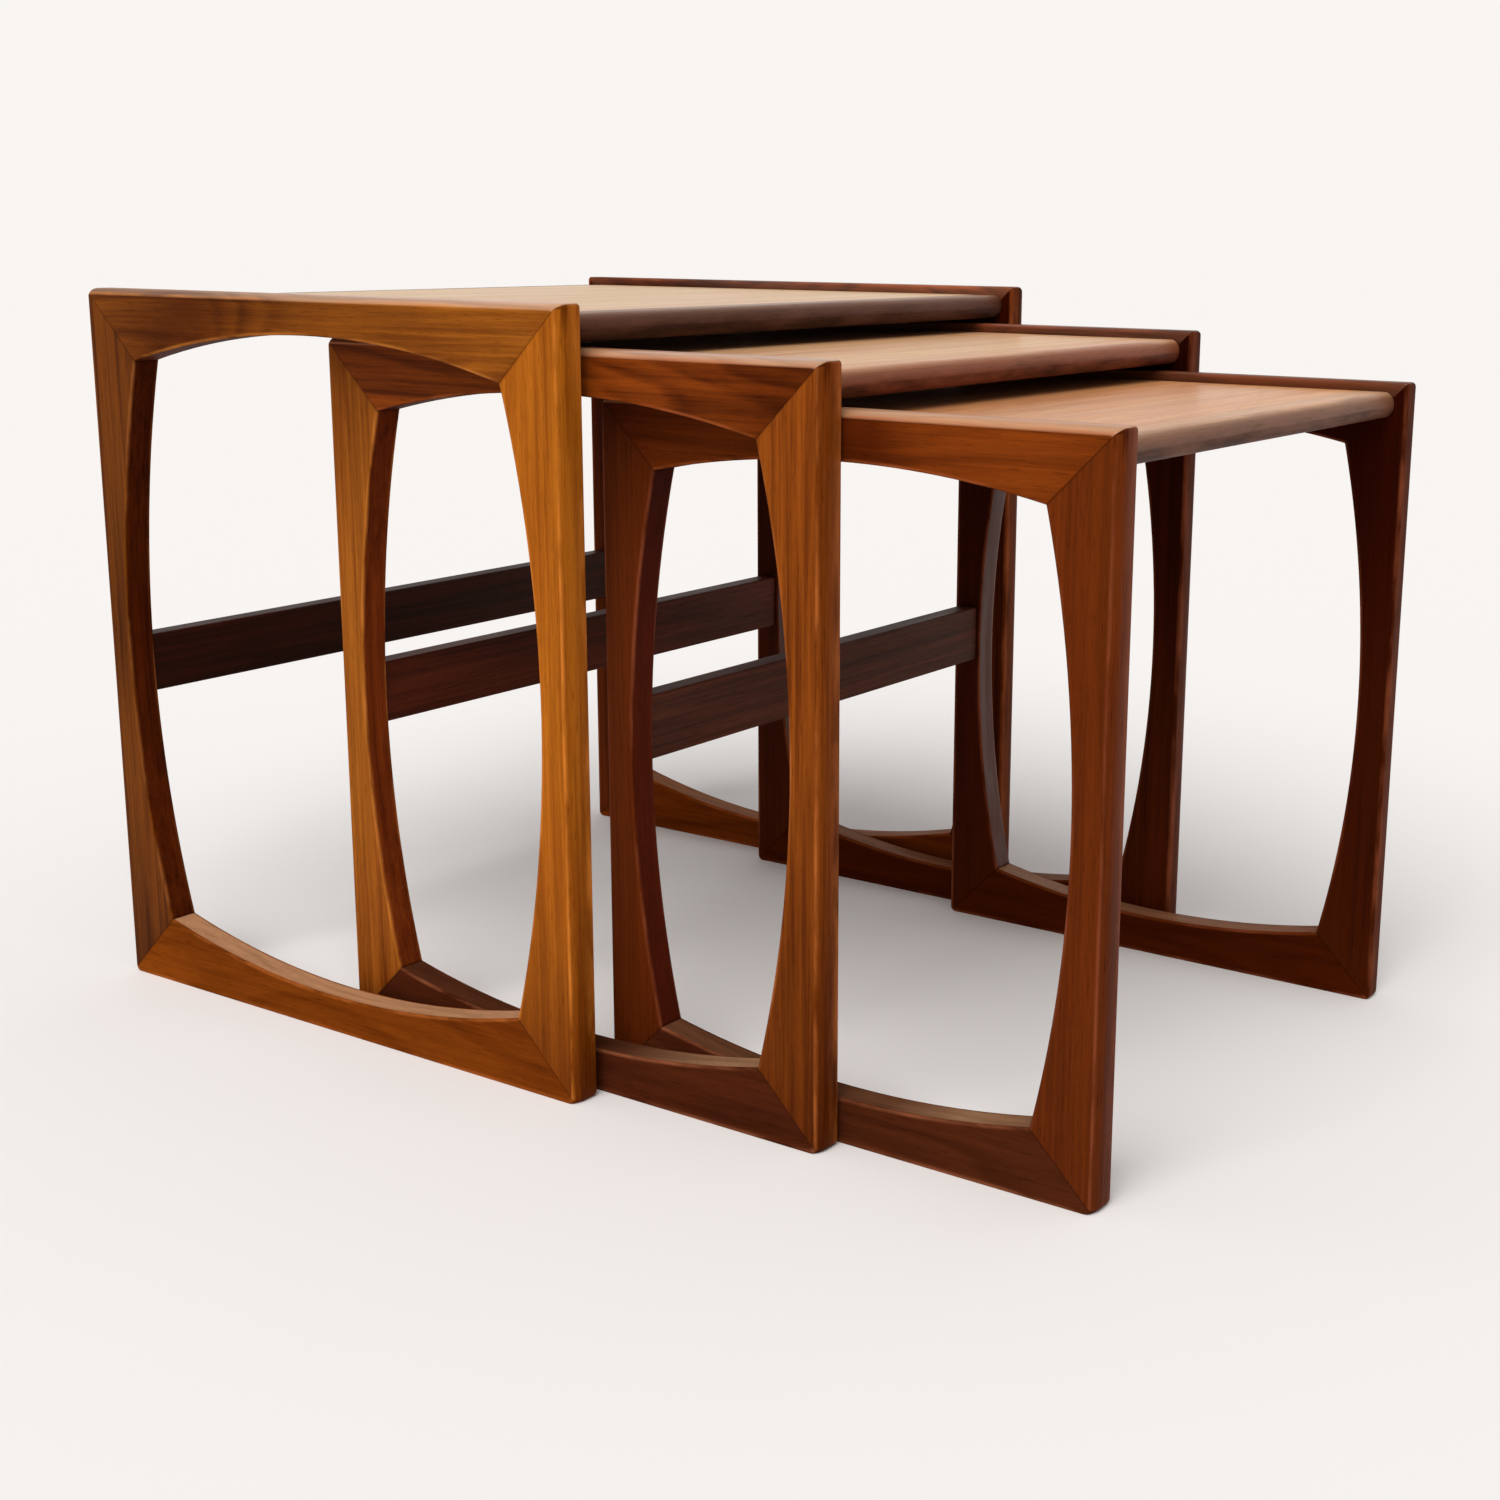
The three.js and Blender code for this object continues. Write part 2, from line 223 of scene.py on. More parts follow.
# The shape of a leg or rail: its kind (leg, top_rail or bottom_rail), its length, its width at the
# mitres, the radius of its bow and its thickness, with the shades of its crowned edge and of its
# inner face.
Shape = namedtuple("Shape", "kind length corner bow thickness crown_shade inner_shade")

# A point of a member's section: its depth x in from the outer face, how far it lies inside the
# crowned outline, the plain outline of the floor side and the opening's outline, its share of the
# way from the outline to the opening, how worn the wood is there, how much painted shade it takes
# and how much wax and painted highlight.
SectionPoint = namedtuple("SectionPoint", "x crowned plain opening share wear shade polish")


def frame_section(shape):
    """The section of a frame member, once round: the crease, the crowned outer edge, the face
    towards the inside of the table, the opening's edge and the outer face."""
    points = []
    thickness, crown_shade, inner_shade = shape.thickness, shape.crown_shade, shape.inner_shade
    opening_shade = OPENING_SHADE[shape.kind]
    on_top = shape.kind == "top_rail"
    rim_shade = 0.0 if on_top else inner_shade
    crown_wax_and_highlight = 1.0 if on_top else 0.0
    ledge_wax_and_highlight = 1.0 if shape.kind == "bottom_rail" else 0.0

    def add(x, crowned, plain, opening, share, wear, shade=0.0, polish=0.0):
        points.append(SectionPoint(x, crowned, plain, opening, share, wear, shade, polish))

    def floor_arris(x):
        short = max(FLOOR_ARRIS - x, 0)
        return FLOOR_ARRIS - math.sqrt(FLOOR_ARRIS**2 - short**2)

    # The crease, rounded until it meets the crown, and the crown.
    slope = math.asin(CROWN_REACH / CROWN_RADIUS)
    turn = math.pi / 2 - slope
    tangent = CREASE_RADIUS * math.tan(turn / 2)
    for i in range(ARRIS_STEPS + 1):
        angle = turn * i / ARRIS_STEPS
        x = CREASE_RADIUS * (1 - math.cos(angle))
        crowned = CROWN_DROP + tangent - CREASE_RADIUS * math.sin(angle)
        add(x, crowned, floor_arris(x), 0, 0, 1, crown_shade, crown_wax_and_highlight)
    first = math.asin((CROWN_REACH - points[-1].x) / CROWN_RADIUS)
    for i in range(1, CROWN_STEPS + 1):
        angle = first * (1 - i / CROWN_STEPS)
        x = CROWN_REACH - CROWN_RADIUS * math.sin(angle)
        crowned = CROWN_RADIUS * (1 - math.cos(angle))
        wear = CROWN_WEAR if i == 1 else 0
        add(x, crowned, floor_arris(x), 0, 0, wear, crown_shade, crown_wax_and_highlight)

    # The arris towards the inside of the table, and the inner face.
    for angle in quarter(ARRIS_STEPS):
        x = thickness - INNER_ARRIS * (1 - math.sin(angle))
        inset = INNER_ARRIS * (1 - math.cos(angle))
        shade = crown_shade + (rim_shade - crown_shade) * math.sin(angle)
        add(x, inset, inset, 0, 0, 1, shade, crown_wax_and_highlight)
    near_outline = INNER_ARRIS + SUPPORT
    near_opening = OPENING_ARRIS + SUPPORT
    add(thickness, near_outline, near_outline, 0, 0, 0, rim_shade, crown_wax_and_highlight)
    add(thickness, near_outline, near_outline, near_opening, 0.5, 0, inner_shade)
    add(thickness, 0, 0, near_opening, 1, 0, inner_shade)

    # The edge in the opening, between its two arrises.
    for angle in quarter(ARRIS_STEPS):
        x = thickness - OPENING_ARRIS * (1 - math.cos(angle))
        add(x, 0, 0, OPENING_ARRIS * (1 - math.sin(angle)), 1, 1, opening_shade)
    add(thickness - near_opening, 0, 0, 0, 1, 0, opening_shade, ledge_wax_and_highlight)
    add(near_opening, 0, 0, 0, 1, 0, opening_shade, ledge_wax_and_highlight)
    for angle in quarter(ARRIS_STEPS):
        x = OPENING_ARRIS * (1 - math.sin(angle))
        opening = OPENING_ARRIS * (1 - math.cos(angle))
        add(x, 0, 0, opening, 1, 1, opening_shade * math.cos(angle))

    # The outer face.
    near_crease = CROWN_DROP + SUPPORT
    add(0, 0, 0, near_opening, 1, 0)
    add(0, near_crease, near_outline, near_opening, 0.5, 0)
    add(0, near_crease, near_outline, 0, 0, 0)
    return points


def corner_row(own, inset, radius):
    """Points (along, across) round the corner at the start of an outer edge, from the mitre on:
    the edge lies at `own` and its neighbour's at `inset`."""
    mitre = math.acos((own - inset) / (radius * math.sqrt(2))) - math.pi / 4
    row = []
    for i in range(CORNER_STEPS + 1):
        angle = mitre * (1 - i / CORNER_STEPS)
        along = inset + radius * (1 - math.sin(angle))
        row.append((along, own + radius * (1 - math.cos(angle))))
    return row


def outline_row(own, start, end, start_radius, end_radius, length):
    """Points (along, across) of a member's outer edge from mitre to mitre, for insets of its own
    edge and of its neighbours' edges."""
    first = corner_row(own, start, start_radius)
    last = corner_row(own, end, end_radius)
    begin, finish = first[-1][0], length - last[-1][0]
    straight = [(begin + (finish - begin) * i / BOW_STEPS, own) for i in range(1, BOW_STEPS)]
    return first + straight + [(length - along, across) for along, across in reversed(last)]


def opening_row(offset, shape):
    """Points (along, across) of the opening's bowed edge from mitre to mitre."""
    middle = shape.length / 2
    half = middle - shape.corner
    centre = shape.corner + math.sqrt(shape.bow**2 - half**2)
    radius = shape.bow + offset
    # The mitre meets the circle where along = across.
    b = middle + centre
    c = middle**2 + centre**2 - radius**2
    tip = (b - math.sqrt(b * b - 2 * c)) / 2
    reach = math.asin((middle - tip) / radius)
    eased = MITRE_SHARES[-1]
    shares = list(MITRE_SHARES)
    shares += [eased + (1 - 2 * eased) * i / BOW_STEPS for i in range(1, BOW_STEPS)]
    shares += [1 - share for share in reversed(MITRE_SHARES)]
    row = []
    for share in shares:
        angle = reach * (2 * share - 1)
        row.append((middle + radius * math.sin(angle), centre - radius * math.cos(angle)))
    return row


def shrink(ring, shape):
    """A mitre's end ring drawn in by the mitre's arris all round."""
    along = (min(point[1] for point in ring) + max(point[1] for point in ring)) / 2
    across = (min(point[2] for point in ring) + max(point[2] for point in ring)) / 2
    centre = (shape.thickness / 2, along, across)
    short = 1 - 2 * MITRE_ARRIS / shape.corner
    scale = (1 - 2 * MITRE_ARRIS / shape.thickness, short, short)
    return [tuple(c + (p - c) * s for p, c, s in zip(point, centre, scale)) for point in ring]


def member_rings(shape, section):
    """Rings of (depth, along, across) from one mitre to the other, the first and last of them a
    little smaller so that the joint shows as a fine vee."""
    on_floor = shape.kind == "bottom_rail"
    start_radius = HEAD_RADIUS if shape.kind == "top_rail" else FOOT_RADIUS
    end_radius = FOOT_RADIUS if on_floor else HEAD_RADIUS
    columns = []
    for point in section:
        own = point.plain if on_floor else point.crowned
        start = point.plain if shape.kind == "leg" else point.crowned
        end = point.crowned
        outer = outline_row(own, start, end, start_radius, end_radius, shape.length)
        inner = opening_row(point.opening, shape)
        columns.append([
            (point.x, a0 + (a1 - a0) * point.share, d0 + (d1 - d0) * point.share)
            for (a0, d0), (a1, d1) in zip(outer, inner)
        ])
    rings = [list(ring) for ring in zip(*columns)]
    first, last = shrink(rings[0], shape), shrink(rings[-1], shape)
    rings[0] = [(x, along + MITRE_ARRIS, across) for x, along, across in rings[0]]
    rings[-1] = [(x, along - MITRE_ARRIS, across) for x, along, across in rings[-1]]
    return [first, *rings, last]


def member_marks(table, side, member, shape, section, rings):
    """What the material reads at each point of a leg or rail: how worn and grimy the wood is, how
    much painted shade, wax and painted highlight it takes, and how ruddy its painted shade is on
    the left-hand legs' edges in the opening."""
    is_leg = shape.kind == "leg"
    tones = TONES[table, member]
    if side == "right":
        tones = RIGHT_TONES.get(shape.kind, tones)
    edge_wax_and_highlight = FLOOR_WAX_AND_HIGHLIGHT[table, side] if shape.kind == "bottom_rail" else TOP_WAX_AND_HIGHLIGHT
    jamb_polish = RIGHT_JAMB_POLISH[table] if side == "right" else 0.0
    last = len(rings) - 1
    marks = {"wear": [], "shade": [], "ruddy": [], "polish": [], "grime": []}
    for i, ring in enumerate(rings):
        for (_, along, _), point in zip(ring, section):
            share = along / shape.length
            # The point's shade and the member's tones set how far it is darkened as painted shade.
            light = (1 - point.shade) * (1 - interpolate(tones, share))
            polish = 0.0
            on_jamb = is_leg and point.share == 1 and point.opening == 0
            on_inner_face = is_leg and point.x == shape.thickness
            on_crown = is_leg and point.share == 0 and point.x < CROWN_REACH
            if on_jamb:
                light *= 1 - interpolate(JAMB_TONE, share)
                polish = jamb_polish
            elif on_inner_face:
                light *= 1 - interpolate(INNER_TONE, share)
            # Wax and painted highlight on the rails' upper edges, from front to back.
            elif point.polish:
                polish = point.polish * interpolate(edge_wax_and_highlight, share)
            # Painted shade on the heads of the legs' crowned edges.
            if on_crown and along > shape.length - HEAD_REACH:
                light *= 1 - HEAD_TONE
            marks["wear"].append(point.wear)
            marks["shade"].append(1 - light)
            # The left-hand legs' edges in the opening take a redder painted shade.
            marks["ruddy"].append(float(on_jamb and side == "left"))
            marks["polish"].append(polish)
            marks["grime"].append(float(i in (0, 1, last - 1, last)))
    return marks


def add_member(table, side, member):
    """One leg or rail, from the places of the CAD frame's legs and rails."""
    prefix = f"{table}_{side}"
    front, inner_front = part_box(f"{prefix}_front_leg")
    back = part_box(f"{prefix}_back_leg")[1]
    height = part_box(f"{prefix}_top_rail")[1].z
    corner, thickness = inner_front.y - front.y, inner_front.x - front.x
    kind, length, bow = member, back.y - front.y, RAIL_BOW_RADIUS
    if member.endswith("leg"):
        kind, length, bow = "leg", height, LEG_BOW_RADIUS
    crown_shade = {
        "leg": FRONT_SHADE[side][table], "top_rail": CREST_SHADE[side], "bottom_rail": 0.0,
    }[kind]
    shape = Shape(kind, length, corner, bow, thickness, crown_shade, INNER_SHADE[kind][table])

    def place(point):
        depth, along, across = point
        x = front.x + depth if side == "left" else inner_front.x - depth
        return {
            "front_leg": (x, front.y + across, along),
            "back_leg": (x, back.y - across, along),
            "bottom_rail": (x, front.y + along, across),
            "top_rail": (x, front.y + along, height - across),
        }[member]

    section = frame_section(shape)
    rings = member_rings(shape, section)
    marks = member_marks(table, side, member, shape, section, rings)
    placed = [[place(point) for point in ring] for ring in rings]
    wood = frame_wood(table, side, member)
    make_piece(f"{prefix}_{member}", placed, marks, wood)


# ---------------------------------------------------------------- boards


def add_board(node, outline, material, contrast=0.0):
    """A board along X: its section, a list of (y, z, wear), between the ends of its CAD node.  The
    contrast says how far its underside takes painted shade and its upper face wax and painted
    highlight."""
    low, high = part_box(node)
    middle_y = (low.y + high.y) / 2
    middle_z = (low.z + high.z) / 2
    deep, tall = high.y - low.y, high.z - low.z
    narrow = 1 - 2 * BOARD_ARRIS / deep
    thin = 1 - 2 * BOARD_ARRIS / tall
    ends = []
    for x, inwards in ((low.x, 1), (high.x, -1)):
        drawn_in = [
            (x, middle_y + (y - middle_y) * narrow, middle_z + (z - middle_z) * thin)
            for y, z, _ in outline
        ]
        rim = [(x + inwards * BOARD_ARRIS, y, z) for y, z, _ in outline]
        inside = [(x + inwards * (BOARD_ARRIS + SUPPORT), y, z) for y, z, _ in outline]
        ends.append([drawn_in, rim, inside])
    rings = ends[0] + list(reversed(ends[1]))
    last = len(rings) - 1
    # Painted shade on the underside; wax and painted highlight on the upper face.
    shades = [contrast * (z < middle_z) for _, z, _ in outline]
    polish = [contrast * interpolate(BOARD_WAX_AND_HIGHLIGHT, (high.z - z) / tall) for _, z, _ in outline]
    marks = {
        "wear": [wear for _, _, wear in outline] * len(rings),
        "shade": shades * len(rings),
        "polish": polish * len(rings),
        "grime": [float(i in (0, 1, last - 1, last)) for i in range(len(rings)) for _ in outline],
    }
    make_piece(node, rings, marks, material)


def arris(y, z, radius, turn, wear):
    """A rounded arris round the centre (y, z), from the angle `turn` a quarter turn on."""
    return [
        (y + radius * math.cos(turn + a), z + radius * math.sin(turn + a), wear)
        for a in quarter(ARRIS_STEPS)
    ]


def rectangle_section(node, radius, wear):
    """The section of a rectangular board with one radius on its four long arrises."""
    low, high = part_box(node)
    section = []
    corners = (
        (low.y, low.z, 1, 1, math.pi),
        (high.y, low.z, -1, 1, 1.5 * math.pi),
        (high.y, high.z, -1, -1, 0),
        (low.y, high.z, 1, -1, math.pi / 2),
    )
    for y, z, right, up, turn in corners:
        near = radius + SUPPORT
        before = (y, z + up * near, 0.0)
        after = (y + right * near, z, 0.0)
        if right != up:
            before, after = after, before
        section.append(before)
        section += arris(y + right * radius, z + up * radius, radius, turn, wear)
        section.append(after)
    return section


def nose_section(node):
    """The section of the front lipping: an elliptical nose and a square back edge."""
    low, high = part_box(node)
    middle = (low.z + high.z) / 2
    half = (high.z - low.z) / 2
    root = low.y + NOSE_REACH
    rear = high.y - BOARD_ARRIS
    section = []
    for i in range(NOSE_STEPS + 1):
        angle = math.pi / 2 + math.pi * i / NOSE_STEPS
        y, z = root + NOSE_REACH * math.cos(angle), middle + half * math.sin(angle)
        section.append((y, z, NOSE_WEAR))
    section.append((root + SUPPORT, low.z, 0.0))
    section.append((rear - SUPPORT, low.z, 0.0))
    section += arris(rear, low.z + BOARD_ARRIS, BOARD_ARRIS, 1.5 * math.pi, 0.0)
    section += arris(rear, high.z - BOARD_ARRIS, BOARD_ARRIS, 0, 0.0)
    section.append((rear - SUPPORT, high.z, 0.0))
    section.append((root + SUPPORT, high.z, 0.0))
    return section


def add_boards(table):
    """The top, its front and back lippings, and the stretcher."""
    panel = f"{table}_top_panel"
    section = rectangle_section(panel, BOARD_ARRIS, 0.0)
    add_board(panel, section, top_wood(table), TOP_CONTRAST)
    lipping = lipping_wood(table)
    nose = f"{table}_front_lipping"
    add_board(nose, nose_section(nose), lipping, LIPPING_CONTRAST)
    rear = f"{table}_back_lipping"
    add_board(rear, rectangle_section(rear, BACK_ARRIS, BACK_WEAR), lipping)
    bar = f"{table}_stretcher"
    section = rectangle_section(bar, STRETCHER_ARRIS, STRETCHER_WEAR)
    add_board(bar, section, stretcher_wood(table))


# ---------------------------------------------------------------- shader helpers

# A pattern of noise in the wood: how many features it has per metre across the grain and along it,
# the values between which it shows, and the noise's detail and roughness.
Pattern = namedtuple("Pattern", "across along low high detail roughness", defaults=(0, 1, 2.0, 0.5))


class Graph:
    """Builds a material's nodes.  Inputs are given by socket name or number, as a constant or as
    another node's output."""

    def __init__(self, name):
        self.material = bpy.data.materials.new(name)
        self.material.use_nodes = True
        self.tree = self.material.node_tree
        self.tree.nodes.clear()

    def node(self, kind, inputs=None, **settings):
        """A new node.  The other methods return the output of one."""
        made = self.tree.nodes.new(kind)
        for name, value in settings.items():
            setattr(made, name, value)
        for socket, value in (inputs or {}).items():
            if isinstance(value, bpy.types.NodeSocket):
                self.tree.links.new(value, made.inputs[socket])
            else:
                made.inputs[socket].default_value = value
        return made

    def math(self, operation, first, second=0.0):
        return self.node("ShaderNodeMath", {0: first, 1: second}, operation=operation).outputs[0]

    def vector(self, operation, first, second=(0, 0, 0)):
        made = self.node("ShaderNodeVectorMath", {0: first, 1: second}, operation=operation)
        return made.outputs["Value" if operation == "LENGTH" else 0]

    def noise(self, board, pattern, output=0):
        """A pattern's bare noise, over coordinates whose third runs along the grain."""
        stretched = self.vector("MULTIPLY", board, (pattern.across, pattern.across, pattern.along))
        inputs = {
            "Vector": stretched,
            "Scale": 1.0,
            "Detail": pattern.detail,
            "Roughness": pattern.roughness,
        }
        return self.node("ShaderNodeTexNoise", inputs).outputs[output]

    def shown(self, board, pattern, out_low=0.0, out_high=1.0):
        """A pattern as it shows, remapped to run from one value to another."""
        noise = self.noise(board, pattern)
        return self.remap(noise, pattern.low, pattern.high, out_low, out_high)

    def remap(self, value, low, high, out_low=0.0, out_high=1.0):
        inputs = {0: value, 1: low, 2: high, 3: out_low, 4: out_high}
        return self.node("ShaderNodeMapRange", inputs).outputs[0]

    def mix(self, factor, first, second, blend="MIX"):
        inputs = {0: factor, 6: first, 7: second}
        made = self.node("ShaderNodeMix", inputs, data_type="RGBA", blend_type=blend)
        return made.outputs[2]

    def attribute(self, name):
        return self.node("ShaderNodeAttribute", attribute_name=name).outputs["Fac"]


def srgb(red, green, blue):
    """A colour written in 8-bit sRGB, as the linear colour a shader takes."""

    def linear(value):
        value /= 255
        return value / 12.92 if value <= 0.04045 else ((value + 0.055) / 1.055) ** 2.4

    return (linear(red), linear(green), linear(blue), 1.0)


def scaled(colour, factor, lift=0.0):
    """A lighter or darker colour."""
    return tuple(min(1, channel * factor + lift) for channel in colour[:3]) + (1.0,)


# ---------------------------------------------------------------- wood

NEVER = 10  # a y behind every table, for wood that no larger table covers

# A kind of wood: its paler and darker colours, the mean gap between its growth rings, how strongly
# the rings and the straight streaks show, how far the pith wanders, where the pith lies from the
# board's middle, how rough and how glossy the finish is, how thick the wax is and how strong the
# painted highlight is where the wax-and-highlight mark says, and from which y on a larger table
# covers it and darkens it with painted shade.
Wood = namedtuple(
    "Wood",
    "light dark ring_gap rings streaks wander pith roughness gloss wax bleached covered",
    defaults=(0, 0, NEVER),
)

# Each board lies somewhere else in the noise, by its seed times this.
SEED_SHIFT = (1.37, 0.71, 2.13)

PITH_DRIFT = Pattern(1.5, 3.0, detail=1.0)
# What bends the growth rings, and by how many ring gaps.
RING_BENDS = ((Pattern(30, 2, detail=1.0), 2.2), (Pattern(110, 16, detail=3.0), 0.5))
RING_FALL = 1.8  # the power by which late wood pales again
RING_RISE = 0.3  # the share of a ring in which it turns dark
YEARS = (0.15, 1.3)  # the weakest and the strongest year's ring
# The straight streaks, from broad to fine, and how strong they are.
STREAKS = (
    (Pattern(55, 2.2, 0.36, 0.64), 0.45),
    (Pattern(190, 5, 0.4, 0.62), 0.45),
    (Pattern(480, 12, 0.42, 0.62), 0.4),
)
HUES = Pattern(14, 3, 0.35, 0.65)
HUE_STRENGTH = 0.25
FIBRES = Pattern(1900, 60, 0.3, 0.7, roughness=0.6)
FIBRE_TONES = (0.86, 1.1)
PORES = Pattern(1300, 75, 0.62, 0.74, detail=1.0)
PORE_DARKNESS = 0.35
PORE_STRENGTH = 0.5
PORE_ROUGHNESS = 0.15

PAINTED_SHADE_TINT = (0.2, 0.095, 0.13, 1.0)  # what is left of the colour in the deepest painted shade
# A redder cast, for drifts in the wood and for the painted shade on the left-hand legs' edges in
# the opening.
RUDDY = (1.0, 0.64, 0.85, 1.0)
# The colour of the painted highlight.
PAINTED_HIGHLIGHT_COLOUR = srgb(238, 182, 136)
HIGHLIGHTED_LINES = 0.5  # how far the dense lines pale in the painted highlight, next to the rest
# Painted shade on a top where the next larger table covers it, fading in over COVER_FADE.
COVERED_SHADE = 0.5
COVER_FADE = 14 * MM

RUBBED_SPOTS = Pattern(90, 18, 0.4, 0.64, detail=4.0, roughness=0.6)
RUBBED_STRENGTH = 0.6
RUBBED_COLOUR = (1.5, 0.02)  # the paler wood's colour times the first, plus the second
DIRT_DARKNESS = 0.3
DIRT_STRENGTH = 0.4

DULL_SPOTS = Pattern(30, 9, 0.3, 0.7, detail=3.0)
DULLNESS = (-0.04, 0.05)
SHADE_ROUGHNESS = 0.2
WARM_GLOSS = (1.0, 0.5, 0.22, 1.0)
WAX_PATCHES = Pattern(120, 7, 0.35, 0.65)
WAX_THICKNESS = (0.55, 1.0)
WAX_ROUGHNESS = 0.3

# The relief: pores are cut in to the full depth, fibres stand out, late wood lies lower.
BUMP_DEPTH = 0.05 * MM
BUMP_STRENGTH = 0.2
FIBRE_RELIEF = 0.35
LATE_RELIEF = 0.3


def growth_rings(g, wood, board, shifted):
    """How dark the late wood is: rings round a pith line that wanders along the board."""
    drift = g.vector("SUBTRACT", g.noise(shifted, PITH_DRIFT, "Color"), (0.5, 0.5, 0.5))
    swing = g.vector("MULTIPLY", drift, (wood.wander, wood.wander, 0))
    section = g.vector("MULTIPLY", board, (1, 1, 0))
    radius = g.vector("LENGTH", g.vector("ADD", g.vector("ADD", section, (*wood.pith, 0)), swing))
    turns = g.math("DIVIDE", radius, wood.ring_gap)
    for pattern, gaps in RING_BENDS:
        turns = g.math("ADD", turns, g.math("MULTIPLY", g.noise(shifted, pattern), gaps))
    ring = g.math("FRACT", turns)
    late = g.math("POWER", g.math("SUBTRACT", 1.0, ring), RING_FALL)
    late = g.math("MULTIPLY", late, g.remap(ring, 0.0, RING_RISE))
    year = g.node("ShaderNodeTexWhiteNoise", {"W": g.math("FLOOR", turns)}, noise_dimensions="1D")
    return g.math("MULTIPLY", late, g.remap(year.outputs["Value"], 0.0, 1.0, *YEARS))


def base_wood_colour(g, wood, shifted, tone, fibre, pores):
    """The colour of the wood: dark lines, ruddier drifts, fibres and pores, and the redder painted
    shade on the left-hand legs' edges in the opening.
    """
    colour = g.mix(g.math("MINIMUM", tone, 1.0), wood.light, wood.dark)
    hue = g.math("MAXIMUM", g.shown(shifted, HUES, 0.0, HUE_STRENGTH), g.attribute("ruddy"))
    colour = g.mix(hue, colour, g.mix(1.0, colour, RUDDY, "MULTIPLY"))
    colour = g.mix(1.0, colour, fibre, "MULTIPLY")
    pore_colour = scaled(wood.dark, PORE_DARKNESS)
    return g.mix(g.math("MULTIPLY", pores, PORE_STRENGTH), colour, pore_colour)


def painted_shade_and_highlight(g, wood, colour, tone, fibre, shade, polish):
    """A colour with painted shade and a painted highlight laid on."""
    # Painted shade: shaded faces are darkened towards a deep red-brown.
    colour = g.mix(shade, colour, g.mix(1.0, colour, PAINTED_SHADE_TINT, "MULTIPLY"))
    # The painted highlight keeps the figure: the dense lines pale less.
    highlight_amount = g.remap(tone, 0.0, 1.0, wood.bleached, HIGHLIGHTED_LINES * wood.bleached)
    highlight_colour = g.mix(1.0, fibre, PAINTED_HIGHLIGHT_COLOUR, "MULTIPLY")
    return g.mix(g.math("MULTIPLY", polish, highlight_amount), colour, highlight_colour)


def used_colour(g, wood, colour, shifted):
    """A colour with wear on the arrises, and glue and dirt in the joints."""
    worn = g.math("MULTIPLY", g.attribute("wear"), g.shown(shifted, RUBBED_SPOTS))
    worn = g.math("MULTIPLY", worn, RUBBED_STRENGTH)
    colour = g.mix(worn, colour, scaled(wood.light, *RUBBED_COLOUR))
    dirt = g.math("MULTIPLY", g.attribute("grime"), DIRT_STRENGTH)
    return g.mix(dirt, colour, scaled(wood.dark, DIRT_DARKNESS))


